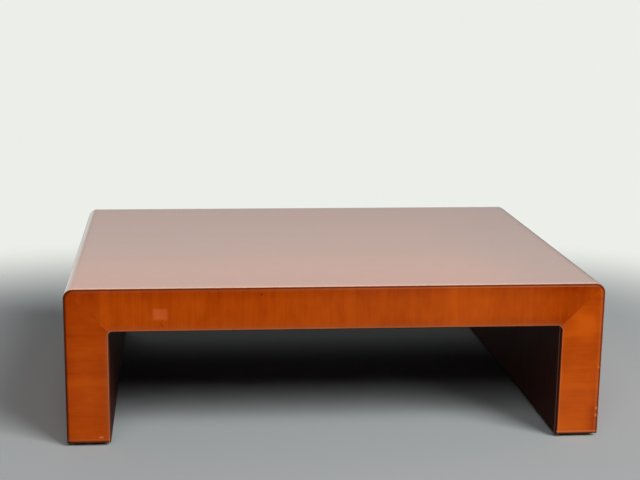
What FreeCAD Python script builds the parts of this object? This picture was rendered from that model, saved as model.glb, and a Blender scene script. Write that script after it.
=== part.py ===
"""Waterfall coffee table, as a parametric FreeCAD document.

The table is an arch of three hollow boxes: a top and two slab legs. Each box is a grid of half-lapped
plywood ribs in a timber frame, with a plywood skin on each side. The boxes meet in a mitre at each corner,
with a plywood spline across it. The outside corner is rounded in the skins, and a solid bead fills the
inside corner. Thick-cut veneer runs in one sheet over the outside, in another under the inside, and in
three mitred pieces across each long edge. Every arris is eased, and round a foot the easing goes through
the veneer into the boards behind it. Each leg stands on a recessed black plinth with nylon glides.

Frame: millimetres, +X along the length, +Y from the front to the back, +Z up. The origin is on the floor,
under the middle of the table. A bare name in a formula below is a cell of the size sheet.
"""
import FreeCAD, Part
import math
import os
import re
import Sketcher

SIZES = [
    ("table_length", 1220, "overall length"),
    ("table_depth", 1000, "overall depth, front to back"),
    ("table_height", 365, "floor to the top surface"),
    ("top_thickness", 99, "thickness of the finished top"),
    ("leg_thickness", 99, "thickness of a finished leg"),
    ("outer_radius", 22, "rounding of the outside corner"),
    ("inner_radius", 8, "cove of the inside corner"),
    ("arris_radius", 4, "easing of the long edges"),
    ("foot_arris", 3, "easing round the foot of a leg"),
    ("veneer", 2, "thick-cut veneer"),
    ("outer_skin", 12, "plywood under the outside veneer"),
    ("inner_skin", 9, "plywood under the inside veneer"),
    ("edge_rail", 22, "front and back rails and stiles, front to back"),
    ("mitre_rail", 40, "bevelled rails at the mitre, measured along the box"),
    ("foot_rail", 40, "rail across the foot of a leg, its height"),
    ("rib", 12, "plywood ribs"),
    ("rib_play", 0.2, "slack of a half-lap slot"),
    ("cross_ribs", 5, "ribs across the top, a count"),
    ("long_ribs", 2, "ribs along the top and up each leg, a count"),
    ("spline_width", 24, "half of it lies in each box"),
    ("spline_thickness", 9, "plywood spline"),
    ("spline_setback", 38, "inside corner of the frame to the spline's middle, along the mitre"),
    ("spline_play", 0.2, "slack of the spline in its groove, each side"),
    ("plinth_height", 5, "recessed strip under a leg"),
    ("plinth_recess", 14, "strip to the faces of the leg, all round"),
    ("glide_count", 2, "glides under each plinth, a count"),
    ("glide_diameter", 22, "nylon disc"),
    ("glide_height", 3, "nylon disc"),
    ("glide_edge", 1.2, "bevel of the disc's lower edge"),
    ("glide_end_gap", 18, "end of the plinth to the edge of the last glide"),
    ("nail_head", 7, "diameter of the flat head"),
    ("nail_head_height", 1, "the head lies in the glide"),
    ("nail_shank", 1.8, "diameter"),
    ("nail_length", 19, "head to end"),
    ("nail_sink", 0.8, "the head lies this far above the floor"),
]
SHEET = "Sizes"
PROUD = 10  # how far a cutting shape stands past the surface that it trims
TINY = 1e-6  # nearer than this counts as touching

doc = FreeCAD.newDocument("WaterfallTable")
sheet = doc.addObject("Spreadsheet::Sheet", SHEET)
for row, (alias, value, note) in enumerate(SIZES, start=1):
    sheet.set(f"A{row}", alias)
    sheet.set(f"B{row}", str(value))
    sheet.set(f"C{row}", note)
    sheet.setAlias(f"B{row}", alias)
doc.recompute()

NAMES = re.compile(r"\b(" + "|".join(alias for alias, value, note in SIZES) + r")\b")
nodes = {}


# ---------------------------------------------------------------- formulas

def bind(formula):
    """The formula as an expression for any object of the document."""
    return NAMES.sub(SHEET + r".\1", formula)


def number(formula):
    """What the formula comes to with the sheet's present sizes."""
    return float(sheet.evalExpression(formula))


def minus(formula):
    return f"-({formula})"


# Places across the section, from the outside in. "x" runs out along the length, "z" up.
foot_z = "(plinth_height + glide_height)"
face_x = "(table_length / 2)"
skin_x = f"({face_x} - veneer)"
core_x = f"({skin_x} - outer_skin)"
inner_face_x = f"({face_x} - leg_thickness)"
inner_skin_x = f"({inner_face_x} + veneer)"
inner_core_x = f"({inner_skin_x} + inner_skin)"
skin_z = "(table_height - veneer)"
core_z = f"({skin_z} - outer_skin)"
inner_face_z = "(table_height - top_thickness)"
inner_skin_z = f"({inner_face_z} + veneer)"
inner_core_z = f"({inner_skin_z} + inner_skin)"

# Centres of the two roundings of a corner.
round_x = f"({face_x} - outer_radius)"
round_z = "(table_height - outer_radius)"
cove_x = f"({inner_face_x} - inner_radius)"
cove_z = f"({inner_face_z} - inner_radius)"
skin_rounding = (round_x, round_z, "(outer_radius - veneer)")
veneer_cove = (cove_x, cove_z, "(inner_radius + veneer)")

# Where the mitre between the outer skins meets their rounding, at 45 degrees.
split_x = f"({round_x} + (outer_radius - veneer) * cos(45))"
split_z = f"({round_z} + (outer_radius - veneer) * cos(45))"

# Depths, front to back: between the face veneers, and between the edge rails.
carcass_depth = "(table_depth - 2 * veneer)"
bay_depth = f"({carcass_depth} - 2 * edge_rail)"
edge_rail_y = f"(({carcass_depth} - edge_rail) / 2)"

# The frame's mitre runs from the inside corner of the core to its outside corner.
mitre_dx = f"({core_x} - {inner_core_x})"
mitre_dz = f"({core_z} - {inner_core_z})"
mitre_run = f"sqrt({mitre_dx} ^ 2 + {mitre_dz} ^ 2)"

# The mitre of the face veneers is struck through the centres of the two roundings.
strike_dx = f"({round_x} - {cove_x})"
strike_dz = f"({round_z} - {cove_z})"
strike_run = f"sqrt({strike_dx} ^ 2 + {strike_dz} ^ 2)"

# The grid of ribs.
grid_x = f"({inner_core_x} - mitre_rail)"
core_middle_z = f"(({inner_core_z} + {core_z}) / 2)"
core_middle_x = f"(({inner_core_x} + {core_x}) / 2)"
leg_middle_z = f"(({foot_z} + foot_rail + {inner_core_z} - mitre_rail) / 2)"
slot_half = "((rib + rib_play) / 2)"


def cross_rib_x(index):
    """Place along the length of one rib across the top."""
    return f"({grid_x} * (2 * {index} / (cross_ribs + 1) - 1))"


def long_rib_y(index):
    """Place front to back of one rib along the top. The legs' uprights stand in line with it."""
    return f"({bay_depth} * ({index} / (long_ribs + 1) - 0.5))"


# ---------------------------------------------------------------- sketches and bodies

def body_named(label):
    body = doc.addObject("PartDesign::Body", label)
    body.Label = label
    return body


def outline(body, plane, corners, name):
    """A closed sketch on one of the body's own planes.

    A corner is (across, up), two formulas. A third entry (across, up, radius) makes the edge to the next
    corner an arc of that radius about that centre.
    """
    sketch = body.newObject("Sketcher::SketchObject", name)
    support = next(o for o in body.Origin.OriginFeatures if o.Role == plane)
    sketch.AttachmentSupport = [(support, "")]
    sketch.MapMode = "FlatFace"
    points = [FreeCAD.Vector(number(c[0]), number(c[1]), 0) for c in corners]
    starts = []
    ends = []
    for index, corner in enumerate(corners):
        here = points[index]
        after = points[(index + 1) % len(points)]
        if len(corner) == 2:
            edge = sketch.addGeometry(Part.LineSegment(here, after), False)
            starts.append((edge, 1))
            ends.append((edge, 2))
            continue
        across, up, radius = corner[2]
        centre = FreeCAD.Vector(number(across), number(up), 0)
        circle = Part.Circle(centre, FreeCAD.Vector(0, 0, 1), number(radius))
        angle_here = math.atan2(here.y - centre.y, here.x - centre.x)
        angle_after = math.atan2(after.y - centre.y, after.x - centre.x)
        forwards = (angle_after - angle_here) % (2 * math.pi) < math.pi
        if forwards:
            edge = sketch.addGeometry(Part.ArcOfCircle(circle, angle_here, angle_after), False)
        else:
            edge = sketch.addGeometry(Part.ArcOfCircle(circle, angle_after, angle_here), False)
        starts.append((edge, 1 if forwards else 2))
        ends.append((edge, 2 if forwards else 1))
        turn = sketch.addConstraint(Sketcher.Constraint("Radius", edge, number(radius)))
        sketch.setExpression(f"Constraints[{turn}]", bind(radius))
    for index, corner in enumerate(corners):
        sketch.addConstraint(Sketcher.Constraint("Coincident", *ends[index - 1], *starts[index]))
        for kind, formula, axis in (("DistanceX", corner[0], -2), ("DistanceY", corner[1], -1)):
            if abs(number(formula)) < TINY:
                sketch.addConstraint(Sketcher.Constraint("PointOnObject", *starts[index], axis))
                continue
            held = sketch.addConstraint(
                Sketcher.Constraint(kind, -1, 1, *starts[index], number(formula)))
            sketch.setExpression(f"Constraints[{held}]", bind(formula))
    return sketch


def pad(body, sketch, length):
    """Material to half the length on each side of the sketch."""
    feature = body.newObject("PartDesign::Pad", "Pad")
    feature.Profile = sketch
    feature.SideType = "Symmetric"
    feature.setExpression("Length", bind(length))
    return feature


def place(thing, x=None, y=None, z=None):
    for axis, formula in (("x", x), ("y", y), ("z", z)):
        if formula is not None:
            thing.setExpression(f".Placement.Base.{axis}", bind(formula))


def blank(label, plane, corners, thickness, **where):
    """A piece of even thickness with the given outline."""
    body = body_named(label)
    pad(body, outline(body, plane, corners, "Outline"), thickness)
    place(body, **where)
    return body


def board(label, plane, corners, thickness, **where):
    """A blank that is a node as it stands."""
    body = blank(label, plane, corners, thickness, **where)
    nodes[label] = body
    return body


def eased_board(label, form, plane, corners, thickness, **where):
    """A node that is the blank within the finished form, whose arrises it shares. Gives the blank."""
    body = blank(label + "_blank", plane, corners, thickness, **where)
    shared = doc.addObject("Part::MultiCommon", label)
    shared.Shapes = [form, body]
    shared.Label = label
    nodes[label] = shared
    return body


def through_pocket(body, corners):
    sketch = outline(body, "XZ_Plane", corners, "Groove")
    feature = body.newObject("PartDesign::Pocket", "Pocket")
    feature.Profile = sketch
    feature.SideType = "Symmetric"
    feature.Type = "ThroughAll"


def on_side(side, corners):
    """The corners as drawn on the right, or mirrored to the left, still in order round the outline."""
    if side == "right":
        return corners
    turned = []
    for index in range(len(corners)):
        corner = corners[-index]
        before = corners[-index - 1]
        entry = [minus(corner[0]), corner[1]]
        if len(before) == 3:
            across, up, radius = before[2]
            entry.append((minus(across), up, radius))
        turned.append(tuple(entry))
    return turned


def arch(half_width, crown, radius=None, bottom=foot_z):
    """Corners from the left foot up, over and down to the right foot, rounded if a radius is given."""
    if radius is None:
        return [(minus(half_width), bottom), (minus(half_width), crown),
                (half_width, crown), (half_width, bottom)]
    shoulder = f"({crown} - {radius})"
    turn = f"({half_width} - {radius})"
    return [(minus(half_width), bottom), (minus(half_width), shoulder, (minus(turn), shoulder, radius)),
            (minus(turn), crown), (turn, crown, (turn, shoulder, radius)),
            (half_width, shoulder), (half_width, bottom)]


def ring(outer, inner):
    """One closed outline from an outer arch and the arch inside it."""
    back = []
    for index in range(len(inner) - 1, -1, -1):
        entry = inner[index][:2]
        if index > 0 and len(inner[index - 1]) == 3:
            entry = entry + (inner[index - 1][2],)
        back.append(entry)
    return outer + back


# ---------------------------------------------------------------- the finished form

def eased_form():
    """The whole table above the plinths as one solid, with every arris eased. It trims the outer pieces."""
    body = body_named("eased_form")
    corners = ring(arch(face_x, "table_height", "outer_radius"),
                   arch(inner_face_x, inner_face_z, "inner_radius"))
    form = pad(body, outline(body, "XZ_Plane", corners, "Outline"), "table_depth")
    doc.recompute()
    half_depth = number("table_depth / 2")
    bottom = number(foot_z)
    long_edges = []
    for index, edge in enumerate(form.Shape.Edges, start=1):
        ends = [v.Point for v in edge.Vertexes]
        on_face = all(abs(abs(p.y) - half_depth) < TINY for p in ends) and ends[0].y * ends[-1].y > 0
        at_foot = all(abs(p.z - bottom) < TINY for p in ends)
        if on_face and not at_foot:
            long_edges.append(f"Edge{index}")
    eased = body.newObject("PartDesign::Fillet", "LongArrises")
    eased.Base = (form, long_edges)
    eased.setExpression("Radius", bind("arris_radius"))
    doc.recompute()
    foot_edges = []
    for index, edge in enumerate(eased.Shape.Edges, start=1):
        if all(abs(v.Point.z - bottom) < TINY for v in edge.Vertexes):
            foot_edges.append(f"Edge{index}")
    feet = body.newObject("PartDesign::Fillet", "FootArrises")
    feet.Base = (eased, foot_edges)
    feet.setExpression("Radius", bind("foot_arris"))
    return body


# ---------------------------------------------------------------- veneers

def veneers(form):
    """Two sheets bent over the arch, and three mitred pieces on each long edge, trimmed by the form."""
    below = f"({foot_z} - {PROUD})"
    whole_depth = f"(table_depth + {PROUD})"
    over = ring(arch(f"({face_x} + {PROUD})", f"(table_height + {PROUD})", None, below),
                arch(skin_x, skin_z, "(outer_radius - veneer)", below))
    eased_board("outer_veneer", form, "XZ_Plane", over, whole_depth)
    under = ring(arch(inner_skin_x, inner_skin_z, "(inner_radius + veneer)", below),
                 arch(f"({cove_x} - {PROUD})", f"({cove_z} - {PROUD})", None, below))
    eased_board("inner_veneer", form, "XZ_Plane", under, whole_depth)

    # Ends of the struck mitre, on the back of the outer sheet and on the back of the inner one.
    tip_x = f"({round_x} + (outer_radius - veneer) * {strike_dx} / {strike_run})"
    tip_z = f"({round_z} + (outer_radius - veneer) * {strike_dz} / {strike_run})"
    heel_x = f"({cove_x} + (inner_radius + veneer) * {strike_dx} / {strike_run})"
    heel_z = f"({cove_z} + (inner_radius + veneer) * {strike_dz} / {strike_run})"
    apron_half = [(cove_x, inner_skin_z, veneer_cove), (heel_x, heel_z),
                  (tip_x, tip_z, skin_rounding), (round_x, skin_z)]
    apron = apron_half + on_side("left", apron_half)[1:] + on_side("left", apron_half)[:1]
    leg = [(inner_skin_x, below), (skin_x, below), (skin_x, round_z, skin_rounding),
           (tip_x, tip_z), (heel_x, heel_z, veneer_cove), (inner_skin_x, cove_z)]
    thickness = f"(veneer + {PROUD})"
    for face, way in (("front", -1), ("back", 1)):
        middle_y = f"{way} * ((table_depth - veneer + {PROUD}) / 2)"
        for label, corners in ((f"{face}_apron_veneer", apron),
                               (f"{face}_left_leg_veneer", on_side("left", leg)),
                               (f"{face}_right_leg_veneer", leg)):
            eased_board(label, form, "XZ_Plane", corners, thickness, y=middle_y)


# ---------------------------------------------------------------- the mitred corners

def spline_corners(play):
    """The spline's section, square across the mitre, or its groove if there is play."""
    corners = []
    for along, across in ((-1, -1), (1, -1), (1, 1), (-1, 1)):
        run = f"(spline_setback + {along} * (spline_thickness / 2 + {play}))"
        reach = f"({across} * (spline_width / 2 + {play}))"
        corners.append((f"({inner_core_x} + ({run} * {mitre_dx} + {reach} * {mitre_dz}) / {mitre_run})",
                        f"({inner_core_z} + ({run} * {mitre_dz} - {reach} * {mitre_dx}) / {mitre_run})"))
    return corners


def corner_pieces(side):
    """The spline and the inside bead of one corner. Both run the whole depth of the carcass."""
    board(f"{side}_mitre_spline", "XZ_Plane", on_side(side, spline_corners("0")), carcass_depth)
    bead = [(inner_core_x, inner_core_z), (cove_x, inner_core_z),
            (cove_x, inner_skin_z, veneer_cove), (inner_skin_x, cove_z), (inner_core_x, cove_z)]
    board(f"{side}_inside_bead", "XZ_Plane", on_side(side, bead), carcass_depth)


def groove_for_spline(body, *sides):
    for side in sides:
        through_pocket(body, on_side(side, spline_corners("spline_play")))


# ---------------------------------------------------------------- the top box

def top_box():
    half = [(core_x, core_z), (split_x, split_z, skin_rounding), (round_x, skin_z)]
    board("top_outer_skin", "XZ_Plane", half + on_side("left", half)[1:] + on_side("left", half)[:1],
          carcass_depth)
    board("top_inner_skin", "XZ_Plane",
          [(minus(cove_x), inner_skin_z), (cove_x, inner_skin_z),
           (cove_x, inner_core_z), (minus(cove_x), inner_core_z)], carcass_depth)

    rail = [(minus(inner_core_x), inner_core_z), (inner_core_x, inner_core_z),
            (core_x, core_z), (minus(core_x), core_z)]
    for label, way in (("top_front_rail", -1), ("top_back_rail", 1)):
        body = board(label, "XZ_Plane", rail, "edge_rail", y=f"{way} * {edge_rail_y}")
        groove_for_spline(body, "left", "right")
    mitred = [(inner_core_x, inner_core_z), (core_x, core_z),
              (f"({core_x} - mitre_rail)", core_z), (grid_x, inner_core_z)]
    for side in ("left", "right"):
        body = board(f"top_{side}_mitre_rail", "XZ_Plane", on_side(side, mitred), bay_depth)
        groove_for_spline(body, side)

    cross_count = int(number("cross_ribs"))
    long_count = int(number("long_ribs"))
    slotted = [(minus(grid_x), inner_core_z)]
    for index in range(1, cross_count + 1):
        near = f"({cross_rib_x(index)} - {slot_half})"
        far = f"({cross_rib_x(index)} + {slot_half})"
        slotted += [(near, inner_core_z), (near, core_middle_z), (far, core_middle_z), (far, inner_core_z)]
    slotted += [(grid_x, inner_core_z), (f"({core_x} - mitre_rail)", core_z),
                (minus(f"({core_x} - mitre_rail)"), core_z)]
    for index in range(1, long_count + 1):
        board(f"top_long_rib_{index}", "XZ_Plane", slotted, "rib", y=long_rib_y(index))

    comb = [(f"({bay_depth} / 2)", core_z), (f"({bay_depth} / 2)", inner_core_z),
            (minus(f"({bay_depth} / 2)"), inner_core_z), (minus(f"({bay_depth} / 2)"), core_z)]
    for index in range(1, long_count + 1):
        near = f"({long_rib_y(index)} - {slot_half})"
        far = f"({long_rib_y(index)} + {slot_half})"
        comb += [(near, core_z), (near, core_middle_z), (far, core_middle_z), (far, core_z)]
    for index in range(1, cross_count + 1):
        board(f"top_cross_rib_{index}", "YZ_Plane", comb, "rib", x=cross_rib_x(index))


# ---------------------------------------------------------------- a leg box

def leg_box(side, form):
    """The skins and the stiles stand at the foot's arrises, so they are eased with the finished form."""
    outer = [(core_x, foot_z), (skin_x, foot_z), (skin_x, round_z, skin_rounding),
             (split_x, split_z), (core_x, core_z)]
    eased_board(f"{side}_leg_outer_skin", form, "XZ_Plane", on_side(side, outer), carcass_depth)
    inner = [(inner_skin_x, foot_z), (inner_core_x, foot_z), (inner_core_x, cove_z), (inner_skin_x, cove_z)]
    eased_board(f"{side}_leg_inner_skin", form, "XZ_Plane", on_side(side, inner), carcass_depth)

    stile = [(inner_core_x, foot_z), (core_x, foot_z), (core_x, core_z), (inner_core_x, inner_core_z)]
    for face, way in (("front", -1), ("back", 1)):
        body = eased_board(f"{side}_leg_{face}_stile", form, "XZ_Plane", on_side(side, stile), "edge_rail",
                           y=f"{way} * {edge_rail_y}")
        groove_for_spline(body, side)
    low_core_z = f"({core_z} - mitre_rail)"
    low_inner_z = f"({inner_core_z} - mitre_rail)"
    mitred = [(inner_core_x, inner_core_z), (inner_core_x, low_inner_z),
              (core_x, low_core_z), (core_x, core_z)]
    body = board(f"{side}_leg_mitre_rail", "XZ_Plane", on_side(side, mitred), bay_depth)
    groove_for_spline(body, side)

    above_foot = f"({foot_z} + foot_rail)"
    low_slot = f"({leg_middle_z} - {slot_half})"
    high_slot = f"({leg_middle_z} + {slot_half})"
    upright = [(inner_core_x, above_foot), (core_x, above_foot), (core_x, low_slot),
               (core_middle_x, low_slot), (core_middle_x, high_slot), (core_x, high_slot),
               (core_x, low_core_z), (inner_core_x, low_inner_z)]
    long_count = int(number("long_ribs"))
    for index in range(1, long_count + 1):
        board(f"{side}_leg_upright_rib_{index}", "XZ_Plane", on_side(side, upright), "rib",
              y=long_rib_y(index))
    shelf = [(core_x, minus(f"({bay_depth} / 2)")), (core_x, f"({bay_depth} / 2)"),
             (inner_core_x, f"({bay_depth} / 2)")]
    for index in range(long_count, 0, -1):
        near = f"({long_rib_y(index)} - {slot_half})"
        far = f"({long_rib_y(index)} + {slot_half})"
        shelf += [(inner_core_x, far), (core_middle_x, far), (core_middle_x, near), (inner_core_x, near)]
    shelf.append((inner_core_x, minus(f"({bay_depth} / 2)")))
    board(f"{side}_leg_cross_rib", "XY_Plane", on_side(side, shelf), "rib", z=leg_middle_z)


# ---------------------------------------------------------------- feet

plinth_x = f"({face_x} - leg_thickness / 2)"
plinth_length = "(table_depth - 2 * plinth_recess)"
nail_shoulder = "(nail_sink + nail_head_height)"


def glide_y(index):
    reach = f"({plinth_length} / 2 - glide_end_gap - glide_diameter / 2)"
    return f"({reach} * (2 * ({index} - 1) / max(glide_count - 1; 1) - 1))"


def turned(label, half_section, **where):
    """A round piece: the half section goes once round the body's upright axis."""
    body = body_named(label)
    section = outline(body, "XZ_Plane", half_section, "HalfSection")
    axis = next(o for o in body.Origin.OriginFeatures if o.Role == "Z_Axis")
    feature = body.newObject("PartDesign::Revolution", "Turning")
    feature.Profile = section
    feature.ReferenceAxis = (axis, [""])
    feature.Angle = 360
    place(body, **where)
    return body


nail_section = [("0", "nail_sink"), ("nail_head / 2", "nail_sink"), ("nail_head / 2", nail_shoulder),
                ("nail_shank / 2", nail_shoulder),
                ("nail_shank / 2", "(nail_sink + nail_length - nail_shank)"),
                ("0", "(nail_sink + nail_length)")]

glide_section = [("nail_shank / 2", "glide_height"), ("nail_shank / 2", nail_shoulder),
                 ("nail_head / 2", nail_shoulder), ("nail_head / 2", "0"),
                 ("(glide_diameter / 2 - glide_edge)", "0"), ("glide_diameter / 2", "glide_edge"),
                 ("glide_diameter / 2", "glide_height")]


def gathered(label, shapes):
    """Separate solids kept together, such as all the nails."""
    feature = doc.addObject("Part::Compound", label)
    feature.Links = shapes
    feature.Label = label
    return feature


def block(label, length, width, height, x, z):
    """A plain block that is centred front to back, with the middle of its lower face at x and z."""
    shape = doc.addObject("Part::Box", label)
    shape.setExpression("Length", bind(length))
    shape.setExpression("Width", bind(width))
    shape.setExpression("Height", bind(height))
    place(shape, f"{x} - {length} / 2", f"-({width} / 2)", z)
    return shape


def bored(label, blank, nails):
    """The board with the nails' holes in it, as a node."""
    feature = doc.addObject("Part::Cut", label)
    feature.Base = blank
    feature.Tool = gathered(label + "_holes", nails)
    feature.Label = label
    nodes[label] = feature
    return feature


def feet():
    """Foot rails, the plinths glued under them, and the glides, each with a nail through both."""
    glides = []
    nails = []
    for side, across in (("left", minus(plinth_x)), ("right", plinth_x)):
        nails_here = []
        for index in range(1, int(number("glide_count")) + 1):
            where = {"x": across, "y": glide_y(index)}
            glides.append(turned(f"{side}_glide_{index}", glide_section, **where))
            nails_here.append(turned(f"{side}_nail_{index}", nail_section, **where))
        plinth = block(f"{side}_plinth_board", "(leg_thickness - 2 * plinth_recess)", plinth_length,
                       "plinth_height", across, "glide_height")
        bored(f"{side}_plinth", plinth, nails_here)
        rail_x = core_middle_x if side == "right" else minus(core_middle_x)
        rail = block(f"{side}_foot_rail_board", mitre_dx, bay_depth, "foot_rail", rail_x, foot_z)
        bored(f"{side}_leg_foot_rail", rail, nails_here)
        nails += nails_here
    nodes["glides"] = gathered("glides", glides)
    nodes["glide_nails"] = gathered("glide_nails", nails)


# ---------------------------------------------------------------- build, check and write

def build():
    form = eased_form()
    veneers(form)
    top_box()
    for side in ("left", "right"):
        leg_box(side, form)
        corner_pieces(side)
    feet()
    doc.recompute()


def check():
    """Stops on any failed feature or bad solid, before anything is written."""
    failed = [o.Label for o in doc.Objects if "Invalid" in o.State or "Error" in o.State]
    if failed:
        raise RuntimeError(f"failed features: {failed}")
    for label, thing in nodes.items():
        shape = thing.Shape
        if shape.isNull() or not shape.isValid() or not shape.Solids:
            raise RuntimeError(f"{label} has no sound solid")


def write():
    os.makedirs("parts", exist_ok=True)
    for label, thing in nodes.items():
        thing.Shape.exportStep(os.path.join("parts", label + ".step"))
        print(f"{label:28s} {len(thing.Shape.Solids):2d} solids {thing.Shape.Volume / 1000:10.1f} cm3")
    print(len(nodes), "nodes")


build()
check()
write()
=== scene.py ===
# The looks of a waterfall coffee table: one arch of cross-banded, red-brown stained cherry under a gloss
# lacquer. The eight sheets of veneer, the glides and their nails are drawn finely here, each where its solid
# is. The plinths, and the plywood and timber inside, keep their own solids and get their own finishes.
# Everything is in metres: +X along the length, +Y from the front to the back, +Z up from the floor.

import math

import bmesh
import bpy
import numpy as np
from mathutils import Matrix, Vector


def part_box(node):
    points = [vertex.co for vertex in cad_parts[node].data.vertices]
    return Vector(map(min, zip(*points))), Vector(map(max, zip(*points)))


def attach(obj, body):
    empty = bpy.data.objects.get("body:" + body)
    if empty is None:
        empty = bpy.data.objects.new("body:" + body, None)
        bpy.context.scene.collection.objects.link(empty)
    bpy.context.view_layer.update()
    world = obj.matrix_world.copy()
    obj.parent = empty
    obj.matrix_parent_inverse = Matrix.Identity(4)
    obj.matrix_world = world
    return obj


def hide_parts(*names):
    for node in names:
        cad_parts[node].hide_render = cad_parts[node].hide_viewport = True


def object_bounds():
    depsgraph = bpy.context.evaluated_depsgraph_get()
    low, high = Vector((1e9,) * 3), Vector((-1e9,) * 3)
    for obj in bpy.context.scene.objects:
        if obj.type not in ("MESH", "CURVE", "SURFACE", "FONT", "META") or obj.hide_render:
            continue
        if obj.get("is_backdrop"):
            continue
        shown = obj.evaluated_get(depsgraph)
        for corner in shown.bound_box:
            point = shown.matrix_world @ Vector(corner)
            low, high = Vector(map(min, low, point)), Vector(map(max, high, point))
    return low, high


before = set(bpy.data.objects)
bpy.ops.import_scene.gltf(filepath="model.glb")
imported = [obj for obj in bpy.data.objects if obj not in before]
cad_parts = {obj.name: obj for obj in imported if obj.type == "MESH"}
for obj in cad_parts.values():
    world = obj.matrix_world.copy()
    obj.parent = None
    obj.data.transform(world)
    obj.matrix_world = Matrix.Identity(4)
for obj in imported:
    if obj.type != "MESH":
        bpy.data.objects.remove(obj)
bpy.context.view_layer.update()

# ---------------------------------------------------------------- sizes

MM = 0.001
VENEER = 2 * MM
OUTER_RADIUS = 22 * MM  # rounding of the outside corner
COVE_RADIUS = 8 * MM  # rounding of the inside corner
ARRIS = 4 * MM  # easing of the long edges
FOOT_ARRIS = 3 * MM  # easing round the foot of a leg, deeper than the veneer is thick
FEATHER = 0.05 * MM  # where the foot's easing runs out of the veneer, what is left of its thickness
GLUE_LINE = 0.1 * MM  # the open line between the wraps and the face veneers, on each side of it
GLIDE_RADIUS = 11 * MM
GLIDE_HEIGHT = 3 * MM
GLIDE_EASE = 1.2 * MM  # rounding of a glide's lower edge
NAIL_HEAD = 3.5 * MM  # radius of a nail's head, and of its seat in the glide
NAIL_HEAD_LOW, NAIL_HEAD_HIGH = 0.8 * MM, 1.8 * MM
NAIL_EASE = 0.35 * MM  # rounding of the head's lower edge
NAIL_SHANK = 0.9 * MM  # radius
NAIL_POINT = 1.8 * MM  # length of the pointed end

wrap_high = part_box("outer_veneer")[1]
lining_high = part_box("inner_veneer")[1]
HALF_LENGTH, TOP = wrap_high.x, wrap_high.z
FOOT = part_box("right_leg_outer_skin")[0].z
HALF_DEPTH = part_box("back_apron_veneer")[1].y
KNEE_HALF, KNEE_TOP = lining_high.x - VENEER, lining_high.z - VENEER

OUTER_CENTRE = np.array([HALF_LENGTH - OUTER_RADIUS, TOP - OUTER_RADIUS])
COVE_CENTRE = np.array([KNEE_HALF - COVE_RADIUS, KNEE_TOP - COVE_RADIUS])
MITRE = math.atan2(*(OUTER_CENTRE - COVE_CENTRE)[::-1])  # the mitre runs through both centres

RING_STEP = 6 * MM  # spacing of a wrap's rings up a leg
TOP_STEP = 12 * MM  # spacing of its rings along the top
WRAP_COLUMNS = 41  # even columns across a wrap, the last two at each side replaced by the shelf
RIB_STEP = 2 * MM  # spacing of a face veneer's ribs
FACE_COLUMNS = 10  # even columns across a face veneer between its two shelves, both ends included
SHELF = np.array([1, 2, 4, 7, 11, 16]) * MM  # the first columns beyond an eased edge, closer together
ARC_STEPS = 14  # rings round a corner
EASE_STEPS = 7  # points round an arris
CUT_COLUMNS = 3  # of the spaces between them, those that show a wrap's cut edge and not its face
ROUND_STEPS = 48  # points round a glide or a nail
NEARLY = 0.999  # keeps the last points of a vanishing arc apart


# ---------------------------------------------------------------- outlines

def steps(start, stop, size):
    """Evenly spaced values from start to stop, both included, at most size apart."""
    return np.linspace(start, stop, 2 + int(abs(stop - start) / size))


def facing(angle):
    """Unit vectors (x, z) at these angles from +X towards +Z."""
    return np.stack([np.cos(angle), np.sin(angle)], -1)


def foot_rounding():
    """Easing at the foot, upwards from where it runs out of the veneer's back. At the angle a below the
    level the surface lies R (1 - sin a) above the foot and is inset by R (1 - cos a), with R the foot's
    arris."""
    angle = np.linspace(math.acos(1 - (VENEER - FEATHER) / FOOT_ARRIS), 0, EASE_STEPS)
    return FOOT_ARRIS * (1 - np.sin(angle)), FOOT_ARRIS * (1 - np.cos(angle))


def arch(centre):
    """Rings of a wrap, from the left foot over the top to the right foot. Each ring has the centre of its
    rounding and the direction that the surface faces there, and the inset of the foot. On a leg the centre
    climbs and the direction stays, round a corner the direction turns, and along the top the centre
    slides."""
    rise, inset = foot_rounding()
    leg = np.concatenate([FOOT + rise, steps(FOOT + FOOT_ARRIS, centre[1], RING_STEP)[1:]])
    turn = np.linspace(0, math.pi / 2, ARC_STEPS)[1:]
    half = steps(0, centre[0], TOP_STEP)[::-1]
    x = np.concatenate([np.full(len(leg) + len(turn), centre[0]), half[1:]])
    z = np.concatenate([leg, np.full(len(turn) + len(half) - 1, centre[1])])
    angle = np.concatenate([np.zeros(len(leg)), turn, np.full(len(half) - 1, math.pi / 2)])
    inset = np.concatenate([inset, np.zeros(len(x) - len(inset))])
    centres, faces = np.stack([x, z], -1), facing(angle)
    mirror = np.array([-1, 1])
    return (np.concatenate([centres * mirror, centres[-2::-1]]),
            np.concatenate([faces * mirror, faces[-2::-1]]),
            np.concatenate([inset, inset[-2::-1]]))


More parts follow.
